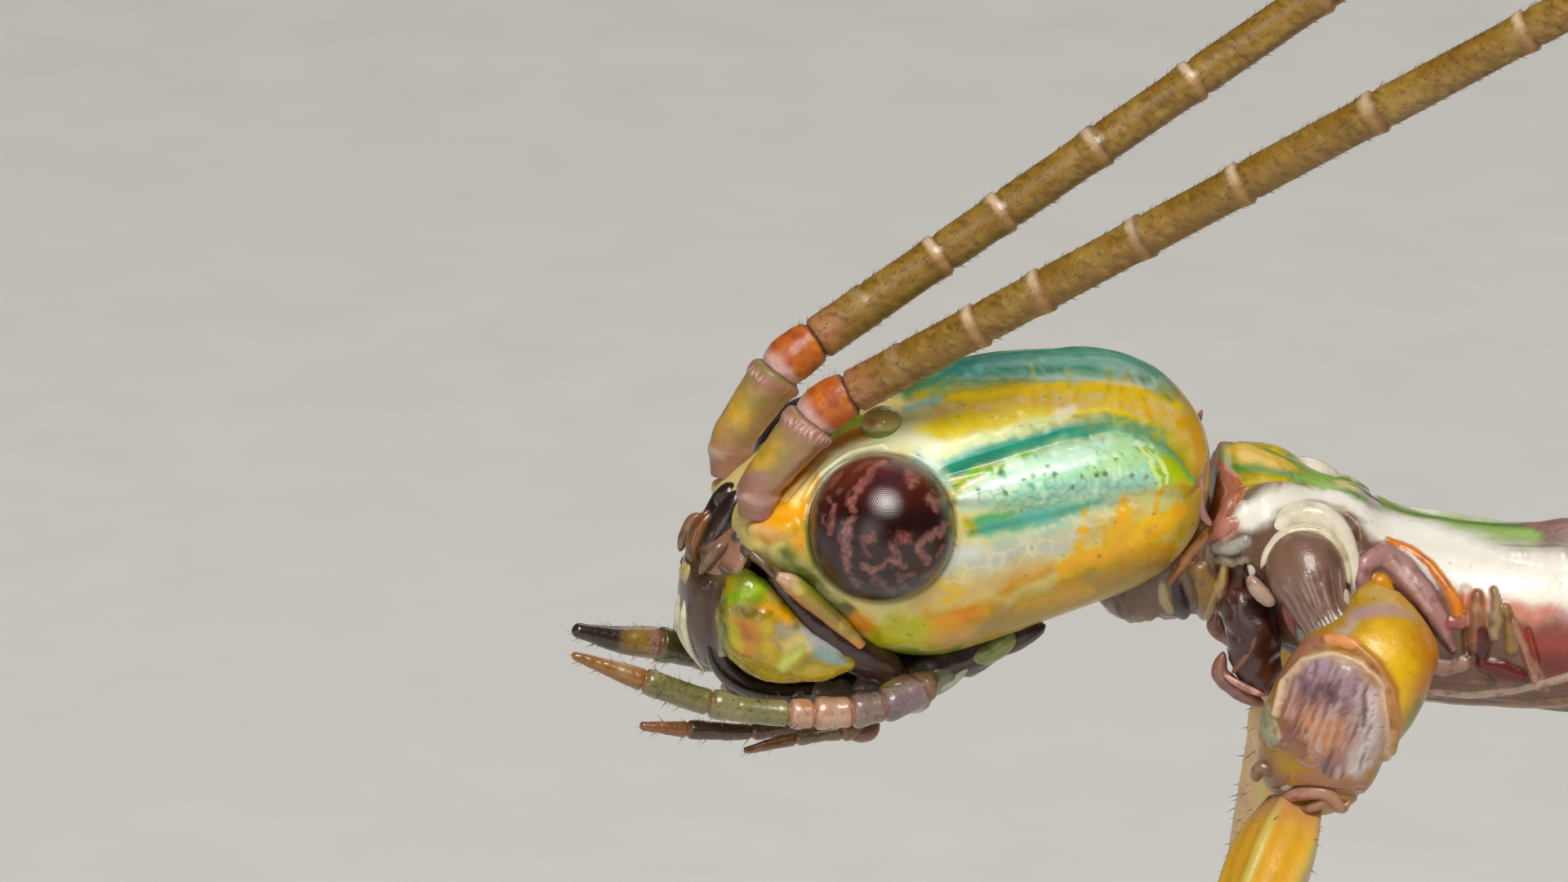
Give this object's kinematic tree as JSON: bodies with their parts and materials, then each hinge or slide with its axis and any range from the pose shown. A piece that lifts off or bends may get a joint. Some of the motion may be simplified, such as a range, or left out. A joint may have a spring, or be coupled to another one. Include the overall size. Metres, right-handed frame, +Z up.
{
  "type": "stick insect",
  "caption": "Life-size still model of a winged stick insect standing on its feet, with a banded head, large compound eyes and long feelers swept back.",
  "frame": {"origin": "centre of the bounding box's underside, on the floor plane under the feet", "axes": "-X is the way the insect faces, -Y its left side, +Z up"},
  "size_m": [0.0948, 0.0602, 0.0491],
  "materials": {
    "head": "glossy waxy insect cuticle, banded teal, cream, yellow and mint white",
    "eye": "polished compound eye of six-sided facets, dark maroon with paler streaks",
    "antenna": "olive brown ringed cuticle covered with short hairs",
    "mouthparts": "wet-looking olive and amber cuticle",
    "membrane": "soft folded skin between the plates",
    "thorax": "satin cuticle, yellow green above with a white band along the side",
    "wing": "leathery veined wing, satin",
    "abdomen": "satin ringed cuticle",
    "leg": "satin yellow cuticle with greenish keels",
    "tarsus": "brown hairy cuticle with pale pads"
  },
  "bodies": {
    "root": {"abdomen_base": "abdomen", "abdomen_middle": "abdomen", "abdomen_rear": "abdomen", "abdomen_tip": "abdomen", "antenna_base_left": "antenna", "antenna_base_right": "antenna", "antenna_left_inner": "antenna", "antenna_left_middle": "antenna", "antenna_left_outer": "antenna", "antenna_right_inner": "antenna", "antenna_right_middle": "antenna", "antenna_right_outer": "antenna", "eye_left": "eye", "eye_right": "eye", "femur_fore_left": "leg", "femur_fore_right": "leg", "femur_hind_left": "leg", "femur_hind_right": "leg", "femur_mid_left": "leg", "femur_mid_right": "leg", "fore_wing_left": "wing", "fore_wing_right": "wing", "head_capsule": "head", "hind_wing_left": "wing", "hind_wing_right": "wing", "hip_fore_left": "leg", "hip_fore_right": "leg", "hip_hind_left": "leg", "hip_hind_right": "leg", "hip_mid_left": "leg", "hip_mid_right": "leg", "jaw_feeler_left": "mouthparts", "jaw_feeler_right": "mouthparts", "jaw_left": "mouthparts", "jaw_right": "mouthparts", "lip_feeler_left": "mouthparts", "lip_feeler_right": "mouthparts", "lower_lip": "mouthparts", "mesothorax": "thorax", "metathorax": "thorax", "neck": "membrane", "prothorax": "thorax", "tail_feeler_left": "abdomen", "tail_feeler_right": "abdomen", "tarsus_fore_left": "tarsus", "tarsus_fore_right": "tarsus", "tarsus_hind_left": "tarsus", "tarsus_hind_right": "tarsus", "tarsus_mid_left": "tarsus", "tarsus_mid_right": "tarsus", "tibia_fore_left": "leg", "tibia_fore_right": "leg", "tibia_hind_left": "leg", "tibia_hind_right": "leg", "tibia_mid_left": "leg", "tibia_mid_right": "leg", "upper_lip": "mouthparts"}
  },
  "joints": []
}
